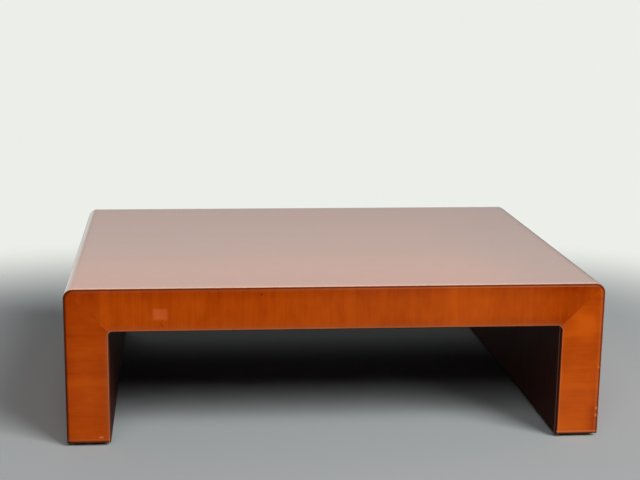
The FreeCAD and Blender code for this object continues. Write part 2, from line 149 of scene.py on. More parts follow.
def leg_band():
    """Ribs up the face of the right leg, from the foot to the mitre: for the outer and the inner edge, the
    centre of the rounding and the direction faced. Below the cove the ribs are level. Above it the inner end
    turns through the cove as the outer end climbs and then turns the same share of its own way."""
    rise, inset = foot_rounding()
    z = np.concatenate([FOOT + rise, steps(FOOT + FOOT_ARRIS, COVE_CENTRE[1], RIB_STEP)[1:]])
    share = np.linspace(0, 1, 2 * ARC_STEPS)[1:]
    climb = OUTER_CENTRE[1] - COVE_CENTRE[1]
    gone = share * (climb + OUTER_RADIUS * MITRE)
    outer_z = np.concatenate([z, COVE_CENTRE[1] + np.minimum(gone, climb)])
    inner_z = np.concatenate([z, np.full(len(share), COVE_CENTRE[1])])
    outer_turn = np.concatenate([0 * z, np.maximum(gone - climb, 0) / OUTER_RADIUS])
    inner_turn = np.concatenate([0 * z, share * MITRE])
    outer = np.stack([np.full(len(outer_z), OUTER_CENTRE[0]), outer_z], -1), facing(outer_turn)
    inner = np.stack([np.full(len(inner_z), COVE_CENTRE[0]), inner_z], -1), facing(inner_turn)
    return outer, inner, np.concatenate([inset, np.zeros(len(outer_z) - len(inset))])


def apron_band():
    """Ribs along the apron from mitre to mitre, in the way of leg_band: upright between the coves, and
    fanned out beyond them."""
    share = np.linspace(1, 0, 2 * ARC_STEPS)[:-1]
    swing = math.pi / 2 - MITRE
    slide = OUTER_CENTRE[0] - COVE_CENTRE[0]
    gone = share * (slide + OUTER_RADIUS * swing)
    x = steps(COVE_CENTRE[0], 0, RIB_STEP)
    outer_x = np.concatenate([COVE_CENTRE[0] + np.minimum(gone, slide), x])
    inner_x = np.concatenate([np.full(len(share), COVE_CENTRE[0]), x])
    upright = math.pi / 2
    outer_turn = upright - np.concatenate([np.maximum(gone - slide, 0) / OUTER_RADIUS, 0 * x])
    inner_turn = upright - np.concatenate([share * swing, 0 * x])
    mirror = np.array([-1, 1])

    def both(x_places, height, turn):
        centre = np.stack([x_places, np.full(len(x_places), height)], -1)
        face = facing(turn)
        return (np.concatenate([centre, (centre * mirror)[-2::-1]]),
                np.concatenate([face, (face * mirror)[-2::-1]]))

    outer = both(outer_x, OUTER_CENTRE[1], outer_turn)
    inner = both(inner_x, COVE_CENTRE[1], inner_turn)
    return outer, inner, np.zeros(len(outer[0]))


def easing(inset, reach):
    """Quarter round between a wrap's face and a long edge's face, with the radius R of ARRIS less the foot's
    inset. At the angle t from the wrap's face the surface lies ARRIS - R cos t below that face, the depth,
    and ARRIS - R sin t behind the edge's face. The wrap ends where the depth is the veneer's thickness. The
    edge's veneer begins there, or lower down at the foot, where it lies a veneer's thickness behind the
    edge's face. reach runs from 0 at the seam to 1 where the round ends. Gives the depth and the distance
    behind, for the wrap and for the edge's veneer."""
    radius = ARRIS - inset[:, None]
    core = ARRIS - VENEER
    last = np.arccos(np.minimum((core + GLUE_LINE) / radius, NEARLY))
    first = np.maximum(np.arccos(np.minimum((core - GLUE_LINE) / radius, NEARLY)),
                       np.arcsin(np.minimum((core + FEATHER) / radius, NEARLY)))
    return [(ARRIS - radius * np.cos(turn), ARRIS - radius * np.sin(turn))
            for turn in (last * (1 - reach), first + (math.pi / 2 - first) * reach)]


def rounding(radius, height, ease):
    """Profile points round a lower outer edge: a quarter circle that ends at this radius and this height."""
    angle = np.linspace(-math.pi / 2, 0, EASE_STEPS)
    return list(zip(radius - ease + ease * np.cos(angle), height + ease * np.sin(angle)))


# ---------------------------------------------------------------- meshes

def link(name, mesh):
    """A smooth-shaded object for the mesh, at the origin, with its edges over 30 degrees kept sharp."""
    mesh.shade_smooth()
    mesh.set_sharp_from_angle(angle=math.radians(30))
    piece = bpy.data.objects.new(name, mesh)
    bpy.context.scene.collection.objects.link(piece)
    return piece


def solid(name, outside, inside, cut_columns=0):
    """A closed sheet between two grids of points, each an array (row, column, 3) with its rows and columns
    paired: the two faces, and a wall round their four borders. The order is turned if the volume by the
    divergence theorem, the sum of corner . (edge x edge) over the faces, comes out negative. On the outer
    face that many columns at each side take the second material."""
    rows, columns = outside.shape[:2]
    points = np.concatenate([outside.reshape(-1, 3), inside.reshape(-1, 3)])
    front = np.arange(rows * columns).reshape(rows, columns)
    back = front + rows * columns
    rim = np.concatenate([front[0, :-1], front[:-1, -1], front[-1, :0:-1], front[:0:-1, 0]])
    rim_back = rim + rows * columns

    def patch(grid):
        return np.stack([grid[:-1, :-1], grid[1:, :-1], grid[1:, 1:], grid[:-1, 1:]], -1).reshape(-1, 4)

    wall = np.stack([rim, np.roll(rim, -1), np.roll(rim_back, -1), rim_back], -1)
    faces = np.concatenate([patch(front), patch(back)[:, ::-1], wall])
    column = np.tile(np.arange(columns - 1), rows - 1)
    cut = (column < cut_columns) | (column >= columns - 1 - cut_columns)
    chosen = np.concatenate([cut, np.zeros(len(faces) - len(cut), bool)]).astype(np.int32)
    a, b, c, d = (points[faces[:, k]] for k in range(4))
    if np.einsum("ij,ij->", a, np.cross(b, c) + np.cross(c, d)) < 0:
        faces = faces[:, ::-1]
    mesh = bpy.data.meshes.new(name)
    mesh.from_pydata(points.tolist(), [], faces.tolist())
    mesh.polygons.foreach_set("material_index", chosen)
    return link(name, mesh)


def turned(name, profile, places):
    """Round pieces, one upright at each place (x, y). The profile is a row of (radius, height), and its
    point at the turn t lies at x + radius cos t, y + radius sin t. It is a closed loop, or runs from axis to
    axis, where its points fall together and are merged."""
    turn = np.linspace(0, 2 * math.pi, ROUND_STEPS, endpoint=False)[:, None]
    radius, height = np.array(profile).T
    one = np.stack([radius * np.cos(turn), radius * np.sin(turn), height + 0 * turn], -1)
    at = np.array([(x, y, 0) for x, y in places])[:, None, None]
    points = (at + one).reshape(-1, 3)
    index = np.arange(len(points)).reshape(len(places), ROUND_STEPS, len(profile))
    after = np.roll(index, -1, axis=1)
    faces = np.stack([index, after, np.roll(after, -1, axis=2), np.roll(index, -1, axis=2)], -1)
    if radius[0] == radius[-1] == 0:
        faces = faces[:, :, :-1]
    faces = faces.reshape(-1, 4)
    mesh = bpy.data.meshes.new(name)
    mesh.from_pydata(points.tolist(), [], faces.tolist())
    shape = bmesh.new()
    shape.from_mesh(mesh)
    bmesh.ops.remove_doubles(shape, verts=shape.verts, dist=MM / 1000)
    bmesh.ops.recalc_face_normals(shape, faces=shape.faces)
    shape.to_mesh(mesh)
    shape.free()
    return link(name, mesh)


def finish_piece(piece, materials, slot, *nodes):
    """Gives a piece its materials and the body that it rides on, and hides the solids it stands for. slot is
    not used.
    """
    for material in materials:
        piece.data.materials.append(material)
    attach(piece, "root")
    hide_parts(*nodes)


# ---------------------------------------------------------------- tone, wear and painted light and shade of the wood

CHIP_FROM_SEAM, CHIP_WIDTH = 3.8 * MM, 1.6 * MM  # a chip's middle and half width across the outer arris
CHIP_PALENESS = 1.6  # over 1, so that a chip is pale to near its border
LEFT_FOOT_RISE = 1.5 * MM  # how much higher the foot's lines run on the left leg


def smooth(value, low, high):
    """Soft step from 0 at low to 1 at high: 3 t^2 - 2 t^3 of the share t of the way."""
    share = np.clip((value - low) / (high - low), 0, 1)
    return share * share * (3 - 2 * share)


def near(value, full, gone):
    """Soft step from 1 at full down to 0 at gone."""
    return 1 - smooth(value, full, gone)


def hill(value, middle, width):
    """Soft band of height 1: exp(-((value - middle) / width)^2)."""
    return np.exp(-((value - middle) / width) ** 2)


def foot_shade(height):
    """Painted shade on the foot's easing, which faces down towards the floor, by the height above the foot.
    """
    return 0.85 * near(height, 2.4 * MM, 4.8 * MM)


def face_wear_and_light(x, z, from_outer, from_inner):
    """Where a face veneer is paled and where it is darkened, each from 0 to 1, by the place and the
    distances from the seams with the outside wrap and with the lining. Each term is a strength times soft
    bands. Most of them are painted light and shade, for a light from the right.
    The outer arris is dark, partly a dark glue line and partly painted shade, a little less on the right,
    apart from the upper corner. On the apron a painted highlight line follows it, thin on the right and
    broad on the left, with a fainter dark line over it. The inner arris has a painted highlight and painted
    shade at once, but on the right leg, whose inner edge faces away from the light, it is plainly dark with
    painted shade, with a thin painted highlight line beside it. The foot's easing has painted shade below a
    painted highlight line, and painted shade darkens the foot's corners. A faint painted light lies right
    of the middle, and on the right leg only near the foot."""
    height = z - FOOT - LEFT_FOOT_RISE * (x < 0)
    on_right = x > 0
    on_leg = smooth(np.abs(x), HALF_LENGTH - 26 * MM, HALF_LENGTH - 8 * MM)
    on_apron = 1 - on_leg
    leg_dark = np.where(x < 0, 0.9, 0.7 + 0.2 * smooth(z, 0.3, 0.34))
    leg_reach = np.where(x < 0, 5.0, 4.0) * MM
    right_inside = smooth(x, KNEE_HALF - 2 * MM, KNEE_HALF) * near(z, KNEE_TOP - 8 * MM, KNEE_TOP)
    other_inside = 1 - right_inside
    inside_turn = near(from_inner, 2.0 * MM, 4.0 * MM)
    # painted highlight: edges facing the light, the apron's top arris, a line above the foot, a faint light
    # right of the middle
    pale = (0.03 * smooth(x, -0.15, 0.1) * (1 - smooth(x, 0.43, 0.5) * smooth(z, 0.1, 0.16))
            + on_apron * 0.55 * smooth(x, -0.3, 0.4) * hill(from_outer, 2.9 * MM, 1.0 * MM)
            + on_apron * 0.13 * near(x, 0, 0.3) * hill(from_outer, 4.4 * MM, 2.2 * MM)
            + on_leg * on_right * 0.2 * hill(from_outer, 5.5 * MM, 2.0 * MM)
            + other_inside * 0.38 * inside_turn
            + other_inside * 0.1 * hill(from_inner, 6 * MM, 4 * MM)
            + right_inside * 0.4 * hill(from_inner, 3.4 * MM, 1.0 * MM)
            + (0.3 + 0.3 * smooth(x, -0.2, 0.2)) * hill(height, 6.4 * MM, 1.4 * MM))
    # painted shade: edges facing away from the light, the foot's easing and corners; in part a dark glue
    # line at the outer arris
    deep = (on_apron * (0.9 - 0.2 * smooth(x, 0.2, 0.5)) * near(from_outer, 0.6 * MM, 2.4 * MM)
            + on_apron * 0.4 * hill(from_outer, 4.8 * MM, 1.0 * MM)
            + on_leg * leg_dark * near(from_outer, 1.8 * MM, leg_reach)
            + other_inside * (0.36 + 0.2 * (x < -KNEE_HALF) + 0.2 * on_right) * inside_turn
            + other_inside * 0.16 * hill(from_inner, 6 * MM, 4 * MM)
            + right_inside * 0.95 * near(from_inner, 1.8 * MM, 3.2 * MM)
            + 0.3 * on_right * near(from_outer + height, 5 * MM, 12 * MM)
            + 0.6 * near(np.minimum(from_outer, from_inner) + height, 3 * MM, 9 * MM)
            + foot_shade(height))
    return np.clip(pale, 0, 1), np.clip(deep, 0, 1)


def wrap_wear_and_light(x, y, z, face, inward):
    """For a wrap, by the place and the direction faced: the tone of the wood, and where it is paled and
    where it is darkened. The top's tone is a painted reflection of the room, palest at the front and darker
    towards its right end, and a painted reflection of the shaded foot of the wall darkens it a little along
    the back. It is paler along its borders, worn finish and painted sheen, with a painted highlight along
    the front arris. The eased edges that face right, towards the light, get a painted highlight, the foot's
    easing gets painted shade, and on the right leg the lining has a thin painted highlight line beside its
    front edge."""
    level = face[:, 1:] ** 4 * (inward < 0)  # 1 on the flat of the top, and 0 all over the lining
    edge = HALF_DEPTH - np.abs(y)
    front = smooth(-y, 0.05, 0.4)
    # painted reflection: the top paler at the front and darker towards its right end
    tone = level * (0.6 * front - (0.35 + 0.6 * front) * smooth(x, 0.26, 0.58))
    right = smooth(x, -0.2, 0.4)
    # painted highlight along the top's front arris
    front_highlight = (1.1 - 0.2 * right) * hill(edge, (3.8 + 1.2 * right) * MM, 1.5 * MM) * (y < 0)
    # painted highlight on the eased edges that face right, towards the light
    faces_right = np.maximum(-inward * face[:, :1], 0) * (np.abs(y) > HALF_DEPTH - ARRIS)
    pale = faces_right * (0.4 if inward < 0 else 0.1) + level * (0.34 * hill(edge, 8 * MM, 7 * MM) + front_highlight)
    if inward > 0:
        # painted highlight line on the right leg's lining, beside its front edge
        pale = pale + 0.9 * hill(edge, 8 * MM, 3 * MM) * (y < 0) * np.maximum(face[:, :1], 0)
    # painted shade under the feet, and along the top's back the mirrored shade at the foot of the wall
    deep = foot_shade(z - FOOT) + level * 0.25 * smooth(y, HALF_DEPTH - 35 * MM, HALF_DEPTH - 12 * MM)
    return tone, pale, deep


def apron_tone(x, z):
    """One leaf right of the middle is paler, with the palest strip near its left border, and a few narrow
    strips elsewhere are paler or darker. The face darkens at both ends and along the bottom on the right,
    and painted shade darkens it towards the top."""
    leaf = (0.16 * (smooth(x, 0.225, 0.25) - smooth(x, 0.348, 0.36))
            + 0.05 * (smooth(x, 0.35, 0.36) - smooth(x, 0.39, 0.41)))
    strips = (0.16 * hill(x, 0.262, 0.009) - 0.1 * hill(x, -0.267, 0.006) - 0.1 * hill(x, -0.145, 0.005)
              + 0.08 * hill(x, -0.526, 0.01))
    ends = (0.2 * near(x, -0.535, -0.525) + 0.06 * hill(x, -0.498, 0.012) + 0.2 * smooth(x, 0.48, 0.52)
            + 0.12 * hill(x, 0.533, 0.016))
    bottom = (0.13 + 0.09 * smooth(x, 0.36, 0.4)) * smooth(x, 0.02, 0.15) * near(z, 0.276, 0.3)
    # painted shade: the last term darkens the apron towards its top
    return leaf + strips - ends - bottom - 0.24 * smooth(z, 0.325, 0.362)


def left_leg_tone(x, z):
    """A little darker all over than the apron, painted shade on the leg further from the light. It is darker
    still towards both edges, and most in the outer part of its upper half. Three soft bands are paler: at
    the foot, and below and above a third of the height."""
    middle = (KNEE_HALF + HALF_LENGTH) / 2
    edges = ((np.abs(x) - middle) / (HALF_LENGTH - middle)) ** 2
    bands = 0.12 * hill(z, 0.024, 0.006) + 0.1 * hill(z, 0.105, 0.03) + 0.14 * hill(z, 0.15, 0.012)
    outer_edge = (0.15 * smooth(z, 0.27, 0.3) * smooth(-x, 0.545, 0.57)
                  + 0.16 * hill(z, 0.195, 0.025) * smooth(-x, 0.575, 0.6))
    # the -0.06 is painted shade: the left leg, further from the light, is darker all over
    return bands - 0.06 - 0.16 * edges - outer_edge


def right_leg_tone(x, z):
    """Paler all over than the apron, painted light on the leg nearer the light. It is palest in one soft
    spot below the mitre, with a few narrow bands that are paler or darker. The foot is pale on the inside
    and dark at its outer corner, and the outer edge and the upper half are a little darker than the rest."""
    out = (x - KNEE_HALF) / (HALF_LENGTH - KNEE_HALF)  # 0 at the inner edge and 1 at the outer one
    spot = 0.5 * hill(z, 0.273, 0.024) * hill(out, 0.65, 0.36)
    bands = (0.14 * hill(z, 0.127, 0.011) + 0.12 * hill(z, 0.167, 0.003)
             + 0.18 * hill(z, 0.246, 0.009) * near(out, 0.6, 0.9)
             - 0.08 * hill(z, 0.102, 0.006) * out - 0.1 * hill(z, 0.238, 0.004))
    foot = 0.36 * hill(z, 0.026, 0.022) * (1 - out) - 0.42 * smooth(out, 0.6, 1.0) * near(z, 0.05, 0.12)
    upper = (0.1 * smooth(z, 0.14, 0.18) + 0.1 * hill(z, 0.21, 0.04) * hill(out, 0.0, 0.5)
             + 0.16 * smooth(z, 0.29, 0.32))
    outer_edge = 0.2 * smooth(out, 0.7, 0.9) * (1 - hill(z, 0.18, 0.02)) * near(z, 0.29, 0.3)
    # the 0.2 is painted light: the right leg, nearer the light, is paler all over
    return 0.2 + spot + bands + foot - upper - outer_edge


def mark(piece, grain, tone, pale, deep):
    """Stores at the points of a sheet, the same on both of its faces, what its material reads: the place in
    the figure, and the tone, paleness and darkness, which carry the wood's own tone, wear and stain and
    also painted light and shade."""
    fields = piece.data.attributes
    places = np.concatenate([grain.reshape(-1, 3)] * 2).astype(np.float32)
    fields.new("grain", "FLOAT_VECTOR", "POINT").data.foreach_set("vector", places.ravel())
    for name, grid in (("tone", tone), ("pale", pale), ("deep", deep)):
        values = np.tile(grid.ravel(), 2).astype(np.float32)
        fields.new(name, "FLOAT", "POINT").data.foreach_set("value", values)


# ---------------------------------------------------------------- sheets of veneer

def wrap(name, centre, radius, inward, leaf):
    """One sheet of veneer over the arch. A ring's point lies at centre + (radius + inward * depth) * facing,
    and across the ring the depth follows the eased edge, the flat face and the other eased edge.
    inward is -1 for the outside, whose wood lies nearer to the centre, and 1 for the lining. leaf is the
    place in the figure that the sheet is cut from, another for each sheet, so that none repeats."""
    middle, face, inset = arch(centre)
    reach = np.linspace(0, 1, EASE_STEPS)[None]
    (depth, behind), _ = easing(inset, reach)
    border = HALF_DEPTH - ARRIS - SHELF
    even = np.linspace(-1, 1, WRAP_COLUMNS)[2:-2] * border[0]
    flat = np.concatenate([-border, even, border[::-1]])[None].repeat(len(inset), 0)
    y = np.concatenate([behind - HALF_DEPTH, flat, HALF_DEPTH - behind[:, ::-1]], 1)
    down = np.concatenate([depth, np.repeat(inset[:, None], flat.shape[1], 1), depth[:, ::-1]], 1)

    def place(distance):
        xz = middle[:, None] + (radius + inward * distance)[..., None] * face[:, None]
        return np.stack([xz[..., 0], y, xz[..., 1]], -1)

    outside = place(down)
    piece = solid(name, outside, place(np.full_like(down, VENEER)), CUT_COLUMNS)
    ring_gaps = np.linalg.norm(np.diff(outside[:, y.shape[1] // 2], axis=0), axis=1)
    along = np.concatenate([[0], np.cumsum(ring_gaps)])[:, None] + 0 * y
    grain = np.stack([along, y, np.full_like(y, leaf)], -1)
    mark(piece, grain, *wrap_wear_and_light(outside[..., 0], y, outside[..., 2], face, inward))
    return piece


def face_veneer(name, band, side, front, leaf, tone_at, chips=()):
    """A sheet of veneer on a long edge's face. Each rib runs from the outer seam round the eased edge to the
    flat face, straight across it, and round the other eased edge to the inner seam.
    side is -1 to mirror a band to the left, front is -1 for the front of the table and 1 for the back. leaf
    is the place in the figure that the sheet is cut from, and tone_at gives the wood's tone at (x, z). A
    chip (height, half height, depth) is a soft dent in the outer arris, rubbed pale."""
    outer, inner, inset = band
    reach = np.linspace(0, 1, EASE_STEPS)[None]
    _, (depth, behind) = easing(inset, reach)
    shelf = np.repeat(ARRIS + SHELF[None, :-1], len(inset), 0)
    down = np.concatenate([depth, shelf], 1)
    across = np.linspace(0, 1, FACE_COLUMNS)[None, 1:-1, None]

    def edge_points(edge, radius, inward):
        centre, face = edge
        return centre[:, None] + (radius + inward * down)[..., None] * face[:, None]

    first = edge_points(outer, OUTER_RADIUS, -1)
    last = edge_points(inner, COVE_RADIUS, 1)[:, ::-1]
    middle = first[:, -1:] * (1 - across) + last[:, :1] * across
    xz = np.concatenate([first, middle, last], 1) * np.array([side, 1])
    x, z = xz[..., 0], xz[..., 1]

    # Distances along the face from the seam with each wrap.
    end = down[:, -1:]
    span = np.linalg.norm(last[:, :1] - first[:, -1:], axis=-1)
    from_outer = np.concatenate([down, end + span * across[..., 0], end + span + end - down[:, ::-1]], 1)
    from_inner = from_outer[:, ::-1] - VENEER
    from_outer = from_outer - VENEER

    flat = np.repeat(inset[:, None], middle.shape[1] + 2 * shelf.shape[1], 1)
    off = np.concatenate([behind, flat, behind[:, ::-1]], 1)
    chipped = 0 * off
    for height, half_height, dent in chips:
        shape = hill(z, height, half_height) * hill(from_outer, CHIP_FROM_SEAM, CHIP_WIDTH)
        off = off + dent * shape
        chipped = chipped + shape

    def place(distance):
        return np.stack([x, front * (HALF_DEPTH - distance), z], -1)

    piece = solid(name, place(off), place(np.full_like(off, VENEER)))
    along, cross = (z, x) if name.endswith("apron") else (x, z)
    grain = np.stack([along, cross, np.full_like(x, leaf)], -1)
    pale, deep = face_wear_and_light(x, z, from_outer, from_inner)
    mark(piece, grain, tone_at(x, z), np.clip(pale + CHIP_PALENESS * chipped, 0, 1), deep)
    return piece


# ---------------------------------------------------------------- materials

def linear(code):
    """An sRGB hex colour as linear red, green, blue and alpha."""
    parts = [int(code[k:k + 2], 16) / 255 for k in (1, 3, 5)]
    return (*[c / 12.92 if c <= 0.04045 else ((c + 0.055) / 1.055) ** 2.4 for c in parts], 1)


def add(tree, kind, inputs=None, **settings):
    """Adds one shader node. Its inputs are given by identifier, each a number, a colour or an output."""
    node = tree.nodes.new(kind)
    for name, value in settings.items():
        setattr(node, name, value)
    for name, value in (inputs or {}).items():
        socket = next(s for s in node.inputs if s.identifier == name)
        if isinstance(value, bpy.types.NodeSocket):
            tree.links.new(value, socket)
        else:
            socket.default_value = value
    return node


def new_material(name):
    """An empty material and its node tree."""
    material = bpy.data.materials.new(name)
    material.use_nodes = True
    material.node_tree.nodes.clear()
    return material, material.node_tree


STAIN_AND_SHADE = "#330b02"  # where stain has gathered, and painted shade on edges facing away from the light and under the feet
WEAR_AND_HIGHLIGHT = "#c8764a"  # where the finish is rubbed thin, and painted highlight on edges that face the light
TOP_WEAR_AND_HIGHLIGHT = "#f2bb9f"  # the same on the top: worn finish and painted sheen along its borders, and painted highlight on its front arris
LINING_HIGHLIGHT = "#a87468"  # painted highlight on the lining: a grey line by the right leg's front edge, and edges facing the light
AMBER_GLOSS = "#ff9848"  # aged lacquer is amber, and tints what the gloss mirrors
SHEEN_PATCH = 40 * MM  # the size of the patches in which the roughness drifts
ORANGE_PEEL = 6 * MM  # the size of the ripple that a spray gun leaves
PEEL_DEPTH = 0.02 * MM  # and its height
MARK_FADE = (0.75, 1.25)  # a mark fades between these shares of its half size
GRAIN_STRETCH = 60  # how many times as long as wide the figure of bare wood is
PLY = 1.5 * MM  # thickness of one ply of the plywood


def stained_cherry(name, dark, light, figure, rough, coat, specular, rubbed, marks=()):
    """Cherry veneer with a red-brown spirit stain under clear nitrocellulose lacquer, rubbed out. The figure
    is soft streaks along the grain, each (length in mm, width in mm, strength). The lacquer fills the pores
    and gives a clear mirror at low angles. The dark colour laid where deep says stands for gathered stain
    and for painted shade. rubbed is the pale colour laid where pale says, for a finish worn thin and for
    painted highlights. A mark (middle, half size, colour, strength) is a small blemish."""
    material, tree = new_material(name)
    place = add(tree, "ShaderNodeTexCoord").outputs["Object"]
    grain = add(tree, "ShaderNodeAttribute", attribute_name="grain").outputs["Vector"]
    tone, pale, deep = (add(tree, "ShaderNodeAttribute", attribute_name=field).outputs["Fac"]
                        for field in ("tone", "pale", "deep"))
    level = add(tree, "ShaderNodeMath", {"Value": tone, "Value_001": 0.5}, operation="ADD").outputs[0]
    for long_mm, wide_mm, strength in figure:
        stretched = add(tree, "ShaderNodeMapping",
                        {"Vector": grain, "Scale": (1 / (long_mm * MM), 1 / (wide_mm * MM), 1)}).outputs[0]
        noise = add(tree, "ShaderNodeTexNoise",
                    {"Vector": stretched, "Scale": 1.0, "Detail": 2.0}).outputs[0]
        centred = add(tree, "ShaderNodeMath", {"Value": noise, "Value_001": 0.5},
                      operation="SUBTRACT").outputs[0]
        level = add(tree, "ShaderNodeMath", {"Value": centred, "Value_001": strength, "Value_002": level},
                    operation="MULTIPLY_ADD").outputs[0]
    colour = add(tree, "ShaderNodeMix",
                 {"Factor_Float": level, "A_Color": linear(dark), "B_Color": linear(light)},
                 data_type="RGBA").outputs["Result"]
    for amount, other in ((deep, STAIN_AND_SHADE), (pale, rubbed)):
        colour = add(tree, "ShaderNodeMix",
                     {"Factor_Float": amount, "A_Color": colour, "B_Color": linear(other)},
                     data_type="RGBA").outputs["Result"]
    for middle, half, other, strength in marks:
        away = add(tree, "ShaderNodeVectorMath", {"Vector": place, "Vector_001": middle},
                   operation="SUBTRACT").outputs[0]
        away = add(tree, "ShaderNodeVectorMath", {"Vector": away, "Vector_001": half},
                   operation="DIVIDE").outputs[0]
        away = add(tree, "ShaderNodeVectorMath", {"Vector": away}, operation="ABSOLUTE").outputs[0]
        axes = add(tree, "ShaderNodeSeparateXYZ", {"Vector": away}).outputs
        far = add(tree, "ShaderNodeMath", {"Value": axes[0], "Value_001": axes[1]},
                  operation="MAXIMUM").outputs[0]
        far = add(tree, "ShaderNodeMath", {"Value": far, "Value_001": axes[2]},
                  operation="MAXIMUM").outputs[0]
        covered = add(tree, "ShaderNodeMapRange",
                      {"Value": far, "From Min": MARK_FADE[0], "From Max": MARK_FADE[1],
                       "To Min": strength, "To Max": 0.0}, interpolation_type="SMOOTHSTEP").outputs[0]
        colour = add(tree, "ShaderNodeMix",
                     {"Factor_Float": covered, "A_Color": colour, "B_Color": linear(other)},
                     data_type="RGBA").outputs["Result"]
    sheen = add(tree, "ShaderNodeTexNoise",
                {"Vector": grain, "Scale": 1 / SHEEN_PATCH, "Detail": 3.0}).outputs[0]
    roughness = add(tree, "ShaderNodeMapRange",
                    {"Value": sheen, "To Min": rough[0], "To Max": rough[1]}).outputs[0]
    peel = add(tree, "ShaderNodeTexNoise",
               {"Vector": grain, "Scale": 1 / ORANGE_PEEL, "Detail": 1.0}).outputs[0]
    skin = add(tree, "ShaderNodeBump", {"Height": peel, "Strength": 0.05, "Distance": PEEL_DEPTH}).outputs[0]
    shader = add(tree, "ShaderNodeBsdfPrincipled",
                 {"Base Color": colour, "Roughness": roughness, "IOR": 1.5, "Specular IOR Level": specular,
                  "Specular Tint": linear(AMBER_GLOSS), "Normal": skin, "Coat Weight": coat,
                  "Coat Roughness": 0.06, "Coat IOR": 1.5})
    add(tree, "ShaderNodeOutputMaterial", {"Surface": shader.outputs["BSDF"]})
    return material


def bare_wood(name, dark, light, grain_axis, ring_mm, layer_axis=None):
    """Bare wood as sawn and planed, dull and a little fuzzy. grain_axis is 0, 1 or 2 for grain along X, Y or
    Z. A growth ring is a soft light and dark pair, drawn out along the grain. Where layer_axis is given it
    is birch plywood, in which every second ply shows its darker end grain on the cut edges."""
    material, tree = new_material(name)
    place = add(tree, "ShaderNodeTexCoord").outputs["Object"]
    stretch = [1 / (ring_mm * MM)] * 3
    stretch[grain_axis] /= GRAIN_STRETCH
    stretched = add(tree, "ShaderNodeMapping", {"Vector": place, "Scale": stretch}).outputs[0]
    level = add(tree, "ShaderNodeTexNoise",
                {"Vector": stretched, "Scale": 1.0, "Detail": 3.0, "Distortion": 0.4}).outputs[0]
    if layer_axis is not None:
        axes = add(tree, "ShaderNodeSeparateXYZ", {"Vector": place}).outputs
        depth = add(tree, "ShaderNodeMath", {"Value": axes[layer_axis], "Value_001": 1 / PLY},
                    operation="MULTIPLY").outputs[0]
        ply = add(tree, "ShaderNodeMath", {"Value": depth, "Value_001": 1.0},
                  operation="PINGPONG").outputs[0]
        level = add(tree, "ShaderNodeMath", {"Value": ply, "Value_001": 0.4, "Value_002": level},
                    operation="MULTIPLY_ADD").outputs[0]
    colour = add(tree, "ShaderNodeMix",
                 {"Factor_Float": level, "A_Color": linear(dark), "B_Color": linear(light)},
                 data_type="RGBA").outputs["Result"]
    fuzz = add(tree, "ShaderNodeTexNoise", {"Vector": stretched, "Scale": 8.0, "Detail": 2.0}).outputs[0]
    rough = add(tree, "ShaderNodeMapRange", {"Value": fuzz, "To Min": 0.55, "To Max": 0.75}).outputs[0]
    bump = add(tree, "ShaderNodeBump", {"Height": fuzz, "Strength": 0.3, "Distance": 0.1 * MM}).outputs[0]
    shader = add(tree, "ShaderNodeBsdfPrincipled",
                 {"Base Color": colour, "Roughness": rough, "Normal": bump})
    add(tree, "ShaderNodeOutputMaterial", {"Surface": shader.outputs["BSDF"]})
    return material


def speckled(name, dark, light, grain_mm, rough, metallic=0.0):
    """A plain made surface, such as brushed paint, moulded nylon or zinc plate: two close tones in grains of
    grain_mm, with the roughness and a slight bump from the same grains."""
    material, tree = new_material(name)
    place = add(tree, "ShaderNodeTexCoord").outputs["Object"]
    noise = add(tree, "ShaderNodeTexNoise",
                {"Vector": place, "Scale": 1 / (grain_mm * MM), "Detail": 3.0}).outputs[0]
    colour = add(tree, "ShaderNodeMix",
                 {"Factor_Float": noise, "A_Color": linear(dark), "B_Color": linear(light)},
                 data_type="RGBA").outputs["Result"]
    roughness = add(tree, "ShaderNodeMapRange",
                    {"Value": noise, "To Min": rough[0], "To Max": rough[1]}).outputs[0]
    bump = add(tree, "ShaderNodeBump", {"Height": noise, "Strength": 0.2, "Distance": 0.05 * MM}).outputs[0]
    shader = add(tree, "ShaderNodeBsdfPrincipled",
                 {"Base Color": colour, "Roughness": roughness, "Normal": bump, "Metallic": metallic})
    add(tree, "ShaderNodeOutputMaterial", {"Surface": shader.outputs["BSDF"]})
    return material


# Streaks of the figure: length in mm, width in mm and strength of each. The short, broad ones are clouds.
FACE_FIGURE = [(900, 34, 0.26), (260, 9, 0.28), (60, 2.6, 0.26), (70, 40, 0.42), (30, 16, 0.34)]
TOP_FIGURE = [(700, 60, 0.4), (300, 14, 0.3), (80, 3, 0.12), (50, 40, 0.16)]

FRONT = -HALF_DEPTH
SKIN_DEEP = 8 * MM  # how far a mark's box reaches through its surface
FRONT_MARKS = [
    ((-0.3967, FRONT, 0.3061), (0.0160, SKIN_DEEP, 0.0125), "#f17b48", 0.17),  # a faded square
    ((-0.4030, FRONT, 0.3061), (0.0070, SKIN_DEEP, 0.0110), "#f17b48", 0.06),  # its left half is a bit paler
    ((-0.3928, FRONT, 0.2912), (0.0016, SKIN_DEEP, 0.0026), "#701800", 0.35),  # four dark flecks
    ((-0.3952, FRONT, 0.2844), (0.0016, SKIN_DEEP, 0.0022), "#701800", 0.5),
    ((-0.3920, FRONT, 0.2795), (0.0024, SKIN_DEEP, 0.0022), "#701800", 0.45),
    ((-0.1720, FRONT, 0.3491), (0.0020, SKIN_DEEP, 0.0016), "#2e0a02", 0.75),
    ((-0.5325, FRONT, 0.0215), (0.0045, SKIN_DEEP, 0.0022), "#f08850", 0.4),  # a rubbed spot, left foot
]
TOP_MARKS = [((-0.3758, 0.330, TOP), (0.0018, 0.036, SKIN_DEEP), "#1c0502", 0.6)]  # a short dark streak

